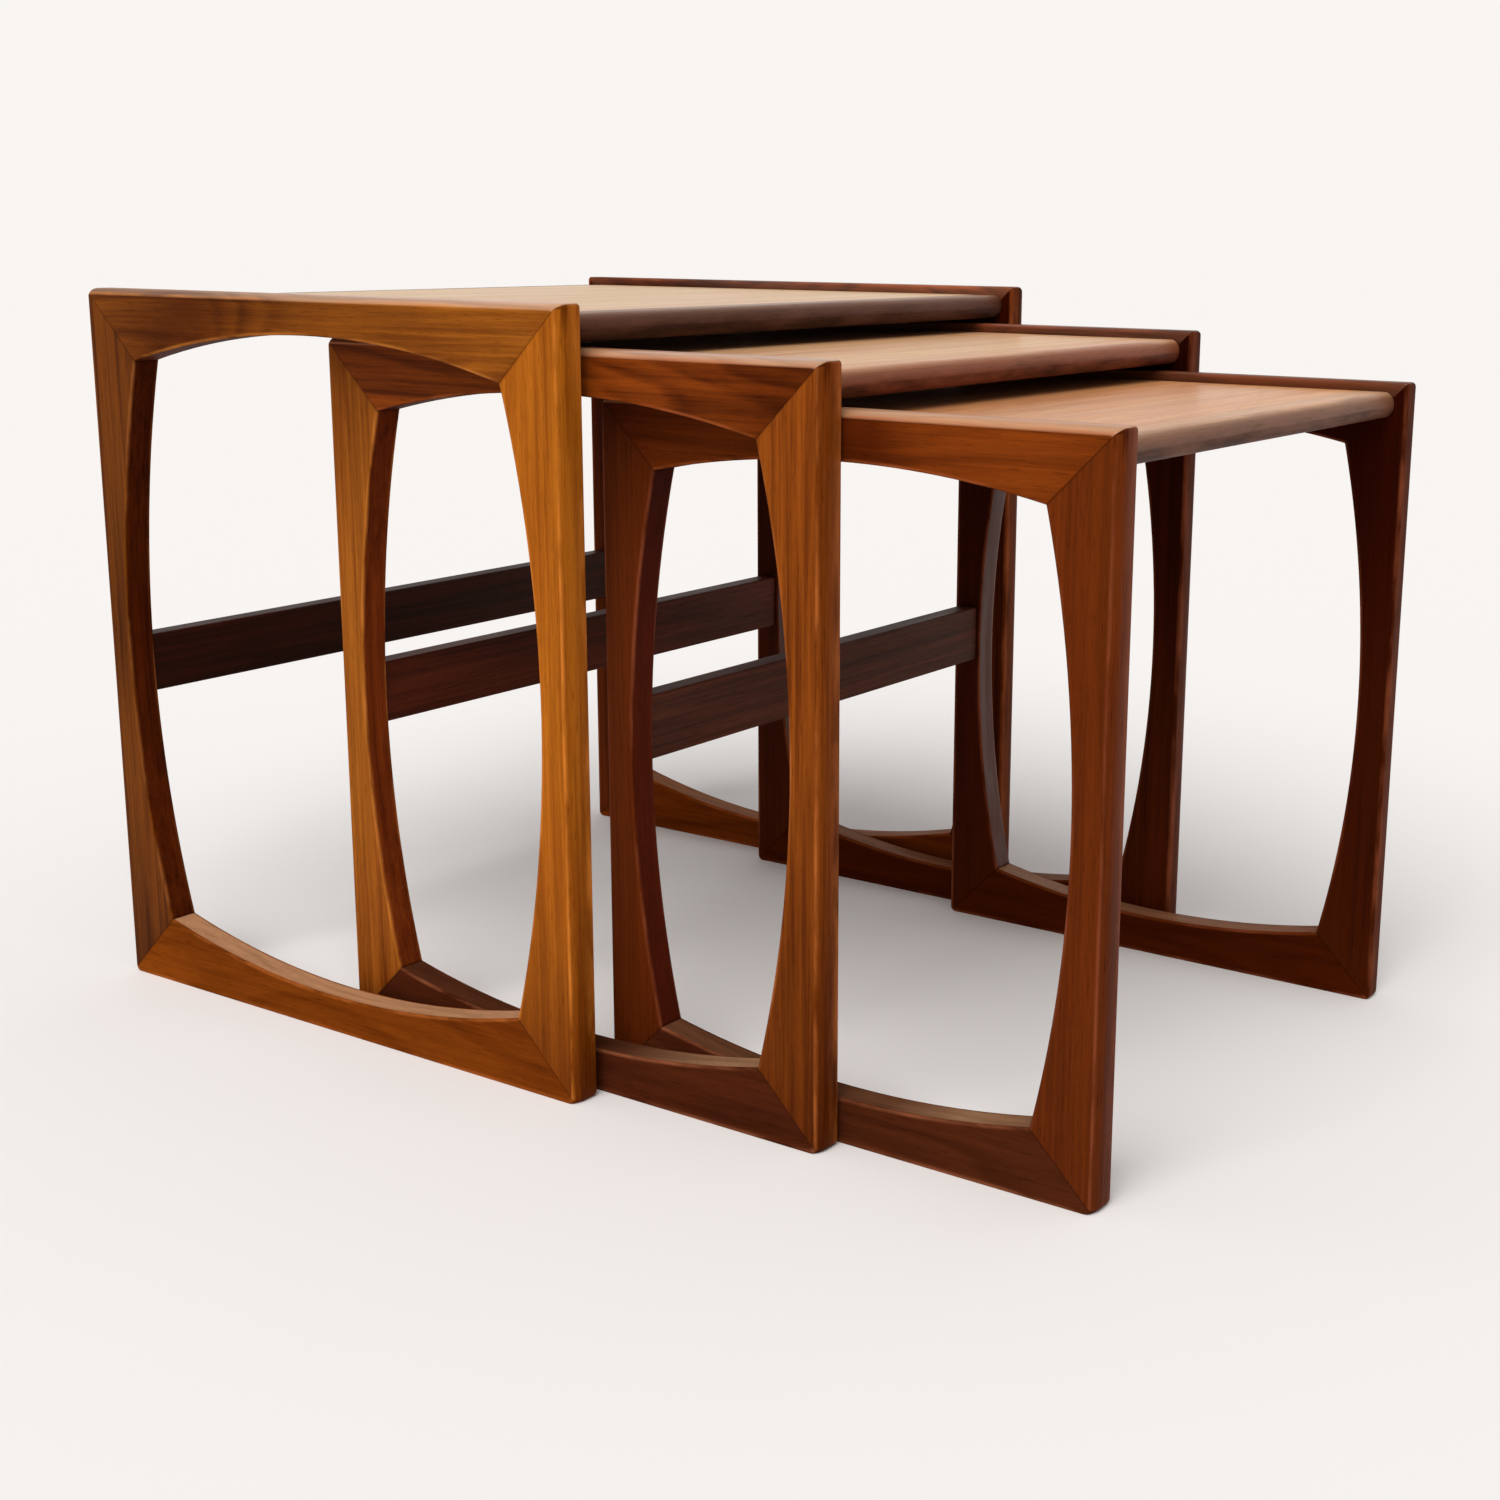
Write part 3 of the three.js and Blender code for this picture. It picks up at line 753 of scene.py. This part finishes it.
def teak(name, wood, grain, centre, seed):
    """A board of teak: growth rings, straight streaks from broad to fine, open pores along the
    grain, painted shade and a painted highlight, pale worn arrises and dark glue lines."""
    g = Graph(name)
    place = g.node("ShaderNodeTexCoord").outputs["Object"]
    split = g.node("ShaderNodeSeparateXYZ", {0: g.vector("SUBTRACT", place, centre)}).outputs
    x, y, z = {"X": (1, 2, 0), "Y": (0, 2, 1), "Z": (0, 1, 2)}[grain]
    board = g.node("ShaderNodeCombineXYZ", {0: split[x], 1: split[y], 2: split[z]}).outputs[0]
    shifted = g.vector("ADD", board, tuple(seed * step for step in SEED_SHIFT))

    late = growth_rings(g, wood, board, shifted)
    tone = g.math("MULTIPLY", late, wood.rings)
    for pattern, strength in STREAKS:
        layer = g.math("MULTIPLY", g.shown(shifted, pattern), wood.streaks * strength)
        tone = g.math("ADD", tone, layer)
    fibres = g.noise(shifted, FIBRES)
    grey = g.remap(fibres, FIBRES.low, FIBRES.high, *FIBRE_TONES)
    fibre = g.node("ShaderNodeCombineColor", {0: grey, 1: grey, 2: grey}).outputs[0]
    pores = g.shown(shifted, PORES)

    # Painted shade where the next larger table covers the top.
    front_to_back = g.node("ShaderNodeSeparateXYZ", {0: place}).outputs[1]
    fade_end = wood.covered + COVER_FADE
    covered = g.remap(front_to_back, wood.covered, fade_end, 0.0, COVERED_SHADE)
    shade = g.math("MAXIMUM", g.attribute("shade"), covered)
    polish = g.attribute("polish")

    colour = base_wood_colour(g, wood, shifted, tone, fibre, pores)
    colour = painted_shade_and_highlight(g, wood, colour, tone, fibre, shade, polish)
    colour = used_colour(g, wood, colour, shifted)

    rough = g.math("ADD", g.shown(shifted, DULL_SPOTS, *DULLNESS), wood.roughness)
    rough = g.math("ADD", rough, g.math("MULTIPLY", pores, PORE_ROUGHNESS))
    rough = g.math("ADD", rough, g.math("MULTIPLY", shade, SHADE_ROUGHNESS))
    wax = 0.0
    if wood.wax:
        wax = g.math("MULTIPLY", polish, wood.wax)
        wax = g.math("MULTIPLY", wax, g.shown(shifted, WAX_PATCHES, *WAX_THICKNESS))
        wax = g.math("MULTIPLY", wax, g.math("SUBTRACT", 1.0, covered))
    relief = g.math("SUBTRACT", g.math("MULTIPLY", fibres, FIBRE_RELIEF), pores)
    relief = g.math("SUBTRACT", relief, g.math("MULTIPLY", late, LATE_RELIEF))
    bump = g.node("ShaderNodeBump", {
        "Strength": BUMP_STRENGTH, "Distance": BUMP_DEPTH, "Height": relief,
    })
    shader = g.node("ShaderNodeBsdfPrincipled", {
        "Base Color": colour,
        "Roughness": rough,
        "Specular IOR Level": wood.gloss,
        "Specular Tint": WARM_GLOSS,
        "Coat Weight": wax,
        "Coat Roughness": WAX_ROUGHNESS,
        "Normal": bump.outputs[0],
    })
    g.node("ShaderNodeOutputMaterial", {"Surface": shader.outputs[0]})
    return g.material


# ---------------------------------------------------------------- each board's wood

# Each board's colours are a pair, paler and darker.  The teak of the frames runs from golden to
# nearly plum.
GOLDEN = (srgb(188, 108, 25), srgb(134, 67, 12))
OLIVE = (srgb(167, 98, 25), srgb(106, 54, 12))
HONEY = (srgb(172, 100, 28), srgb(112, 54, 12))
BROWN = (srgb(158, 83, 21), srgb(95, 43, 9))
UMBER = (srgb(124, 66, 12), srgb(70, 32, 5))
RUSSET = (srgb(140, 65, 15), srgb(78, 31, 7))
PLUM = (srgb(110, 47, 11), srgb(68, 26, 7))
SOOTY = (srgb(126, 68, 36), srgb(74, 37, 20))
# The right frames' colours, below, are darker than the left ones': painted shade.
LEFT_COLOURS = {
    ("large", "front_leg"): GOLDEN,
    ("large", "back_leg"): UMBER,
    ("large", "top_rail"): OLIVE,
    ("large", "bottom_rail"): BROWN,
    ("middle", "front_leg"): BROWN,
    ("middle", "back_leg"): HONEY,
    ("middle", "top_rail"): RUSSET,
    ("middle", "bottom_rail"): SOOTY,
    ("small", "front_leg"): PLUM,
    ("small", "back_leg"): PLUM,
    ("small", "top_rail"): RUSSET,
    ("small", "bottom_rail"): SOOTY,
}
# Darker colours for the right frames, as painted shade.
RIGHT_COLOURS = {"large": RUSSET, "middle": PLUM, "small": PLUM}
# The tops' pale colours are partly a painted highlight of the glare on them.
TOP_COLOURS = {
    "large": (srgb(217, 185, 136), srgb(186, 143, 95)),
    "middle": (srgb(224, 180, 131), srgb(192, 139, 90)),
    "small": (srgb(221, 163, 107), srgb(186, 122, 71)),
}
LIPPING_COLOURS = {
    "large": (srgb(70, 31, 17), srgb(42, 17, 9)),
    "middle": (srgb(116, 55, 28), srgb(76, 32, 15)),
    "small": (srgb(97, 56, 36), srgb(60, 32, 20)),
}
# The stretchers are dark, partly as painted shade under the tops.
STRETCHER_COLOURS = {
    "large": (srgb(58, 20, 12), srgb(30, 10, 6)),
    "middle": (srgb(86, 34, 16), srgb(46, 16, 8)),
    "small": (srgb(84, 40, 24), srgb(46, 20, 12)),
}
BEECH = (srgb(222, 190, 146), srgb(190, 150, 104))

LEG_STREAKS = {"large": 0.75, "middle": 0.75, "small": 0.5}
QUIET_FIGURE = 0.6  # the bottom rails and the small top rails, next to the larger top rails
FRAME_WAX = {"large": 1.0, "middle": 1.0, "small": 0.5}
FLOOR_WAX = {"left": 0, "right": 0.3}
# How strong the painted highlight is on the rails' upper edges, and below on the lippings' upper
# faces.
RAILS_HIGHLIGHT = {
    ("left", "top_rail"): 0.57,
    ("left", "bottom_rail"): 0.57,
    ("right", "top_rail"): 0.05,
    ("right", "bottom_rail"): 0.4,
}
LIPPING_HIGHLIGHT = {"large": 0.3, "middle": 1.0, "small": 1.0}

# The first seed of each kind of board.
FRAME_SEED = 1
TOP_SEED = 31
LIPPING_SEED = 41
STRETCHER_SEED = 51
DOWEL_SEED = 61


def board_centre(node):
    """The middle of a CAD node's box."""
    low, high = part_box(node)
    return (low + high) / 2


def frame_wood(table, side, member):
    """The wood of one leg or rail."""
    node = f"{table}_{side}_{member}"
    light, dark = LEFT_COLOURS[table, member] if side == "left" else RIGHT_COLOURS[table]
    # Legs are cut on the quarter, with straight lines on the outer face; rails nearer the slab.
    if member.endswith("leg"):
        grain = "Z"
        figure = {
            "ring_gap": 4 * MM, "rings": 0.2, "streaks": LEG_STREAKS[table],
            "wander": 0.02, "pith": (0.02, 0.16),
        }
    else:
        grain = "Y"
        bold = 1.0 if member == "top_rail" and table != "small" else QUIET_FIGURE
        figure = {
            "ring_gap": 9 * MM, "rings": 0.75 * bold, "streaks": 0.65 * bold,
            "wander": 0.16 * bold, "pith": (0.05, 0.02),
        }
    # The rails at the floor have no specular gloss and wax only on the right, so they are dull;
    # their upper edges take a painted highlight.
    gloss, wax = 0.04, FRAME_WAX[table]
    if member == "bottom_rail":
        gloss, wax = 0, FLOOR_WAX[side]
    bleached = RAILS_HIGHLIGHT.get((side, member), 0)
    wood = Wood(light, dark, **figure, roughness=0.42, gloss=gloss, wax=wax, bleached=bleached)
    frames_before = TABLES.index(table) * len(SIDES) + SIDES.index(side)
    seed = FRAME_SEED + frames_before * len(MEMBERS) + MEMBERS.index(member)
    return teak(f"teak_{node}", wood, grain, board_centre(node), seed)


def top_wood(table):
    """The veneer of a top, darkened with painted shade where the next larger table covers it."""
    light, dark = TOP_COLOURS[table]
    larger = TABLES.index(table) - 1
    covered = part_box(f"{TABLES[larger]}_front_lipping")[0].y if larger >= 0 else NEVER
    wood = Wood(
        light, dark, ring_gap=9 * MM, rings=0.35, streaks=0.7, wander=0.12, pith=(0.05, 0.05),
        roughness=0.45, gloss=0.3, wax=0.45, covered=covered,
    )
    centre = board_centre(f"{table}_top_panel")
    return teak(f"teak_{table}_top", wood, "X", centre, TOP_SEED + TABLES.index(table))


def lipping_wood(table):
    """The wood of both lippings of a top."""
    light, dark = LIPPING_COLOURS[table]
    wood = Wood(
        light, dark, ring_gap=4 * MM, rings=0.25, streaks=0.5, wander=0.02, pith=(0.12, 0.03),
        roughness=0.4, gloss=0.2, wax=0.22, bleached=LIPPING_HIGHLIGHT[table],
    )
    centre = board_centre(f"{table}_front_lipping")
    return teak(f"teak_{table}_lipping", wood, "X", centre, LIPPING_SEED + TABLES.index(table))


def stretcher_wood(table):
    """The dark wood of a stretcher, its darkness partly painted shade under the top."""
    light, dark = STRETCHER_COLOURS[table]
    wood = Wood(
        light, dark, ring_gap=4 * MM, rings=0.3, streaks=0.8, wander=0.02, pith=(0.15, 0.02),
        roughness=0.5, gloss=0.1,
    )
    centre = board_centre(f"{table}_stretcher")
    seed = STRETCHER_SEED + TABLES.index(table)
    return teak(f"teak_{table}_stretcher", wood, "X", centre, seed)


def dowel_wood():
    """Bare beech, one material for all the dowels."""
    light, dark = BEECH
    wood = Wood(
        light, dark, ring_gap=2.5 * MM, rings=0.4, streaks=0.4, wander=0.01, pith=(0.05, 0.02),
        roughness=0.75, gloss=0.3,
    )
    return teak("beech_dowel", wood, "X", Vector((0, 0, 0)), DOWEL_SEED)


# ---------------------------------------------------------------- studio

PALE = srgb(249, 245, 242)  # the backdrop and the floor
AMBIENT = 0.45
KEY_STRENGTH = 2.25
KEY_ELEVATION = math.radians(50)
KEY_AZIMUTH = math.radians(-72)  # round from the front towards the left
KEY_SPREAD = math.radians(50)
FLOOR_SIZE = 60

# Yaw is from straight ahead towards the right, pitch is downwards.
CAMERA_PLACE = (-1.1825, -0.8769, 0.5327)
CAMERA_YAW = math.radians(55.644)
CAMERA_PITCH = math.radians(12.935)
CAMERA_ROLL = math.radians(0.38)
CAMERA_SENSOR = 36
CAMERA_LENS = 50.654
CAMERA_SHIFT = (-0.0667, -0.02435)


def add_world():
    """Soft light from all round, and a pale backdrop for the camera and for reflections."""
    world = bpy.data.worlds.new("studio")
    bpy.context.scene.world = world
    world.use_nodes = True
    tree = world.node_tree
    tree.nodes.clear()
    path = tree.nodes.new("ShaderNodeLightPath")
    seen = path.outputs["Is Camera Ray"]
    for name in ("Is Glossy Ray", "Is Transmission Ray"):
        either = tree.nodes.new("ShaderNodeMath")
        either.operation = "MAXIMUM"
        tree.links.new(seen, either.inputs[0])
        tree.links.new(path.outputs[name], either.inputs[1])
        seen = either.outputs[0]
    light = tree.nodes.new("ShaderNodeBackground")
    light.inputs["Color"].default_value = (1, 1, 1, 1)
    light.inputs["Strength"].default_value = AMBIENT
    backdrop = tree.nodes.new("ShaderNodeBackground")
    backdrop.inputs["Color"].default_value = PALE
    mix = tree.nodes.new("ShaderNodeMixShader")
    tree.links.new(seen, mix.inputs[0])
    tree.links.new(light.outputs[0], mix.inputs[1])
    tree.links.new(backdrop.outputs[0], mix.inputs[2])
    output = tree.nodes.new("ShaderNodeOutputWorld")
    tree.links.new(mix.outputs[0], output.inputs["Surface"])


def add_key_light():
    """One broad lamp, high on the left."""
    lamp = bpy.data.lights.new("key", "SUN")
    lamp.energy = KEY_STRENGTH
    lamp.angle = KEY_SPREAD
    key = bpy.data.objects.new("key", lamp)
    # A sun shines along its own -Z.
    towards = Vector((
        math.sin(KEY_AZIMUTH) * math.cos(KEY_ELEVATION),
        -math.cos(KEY_AZIMUTH) * math.cos(KEY_ELEVATION),
        math.sin(KEY_ELEVATION),
    ))
    key.rotation_mode = "QUATERNION"
    key.rotation_quaternion = towards.to_track_quat("Z", "Y")
    bpy.context.scene.collection.objects.link(key)


def add_floor():
    """A pale, matt floor that reaches far past the picture."""
    half = FLOOR_SIZE / 2
    corners = [(-half, -half, 0), (half, -half, 0), (half, half, 0), (-half, half, 0)]
    mesh = bpy.data.meshes.new("floor")
    mesh.from_pydata(corners, [], [(0, 1, 2, 3)])
    g = Graph("floor")
    shader = g.node("ShaderNodeBsdfDiffuse", {"Color": PALE, "Roughness": 0.0})
    g.node("ShaderNodeOutputMaterial", {"Surface": shader.outputs[0]})
    mesh.materials.append(g.material)
    floor = bpy.data.objects.new("floor", mesh)
    bpy.context.scene.collection.objects.link(floor)


def add_camera():
    """The camera of the photograph."""
    lens = bpy.data.cameras.new("camera")
    lens.sensor_width = CAMERA_SENSOR
    lens.lens = CAMERA_LENS
    lens.shift_x, lens.shift_y = CAMERA_SHIFT
    camera = bpy.data.objects.new("camera", lens)
    camera.location = CAMERA_PLACE
    level = Euler((math.pi / 2 - CAMERA_PITCH, 0, -CAMERA_YAW), "XYZ").to_matrix()
    roll = Euler((0, 0, CAMERA_ROLL), "XYZ").to_matrix()
    camera.rotation_euler = (level @ roll).to_euler()
    bpy.context.scene.collection.objects.link(camera)
    bpy.context.scene.camera = camera


# ---------------------------------------------------------------- the scene

for table in TABLES:
    for side in SIDES:
        for member in MEMBERS:
            add_member(table, side, member)
    add_boards(table)

# The dowels keep their CAD solids.
bare_beech = dowel_wood()
for node, cad_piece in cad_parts.items():
    if "dowel" in node:
        cad_piece.data.materials.clear()
        cad_piece.data.materials.append(bare_beech)

add_world()
add_key_light()
add_floor()
add_camera()

bpy.context.scene.view_settings.view_transform = "Standard"
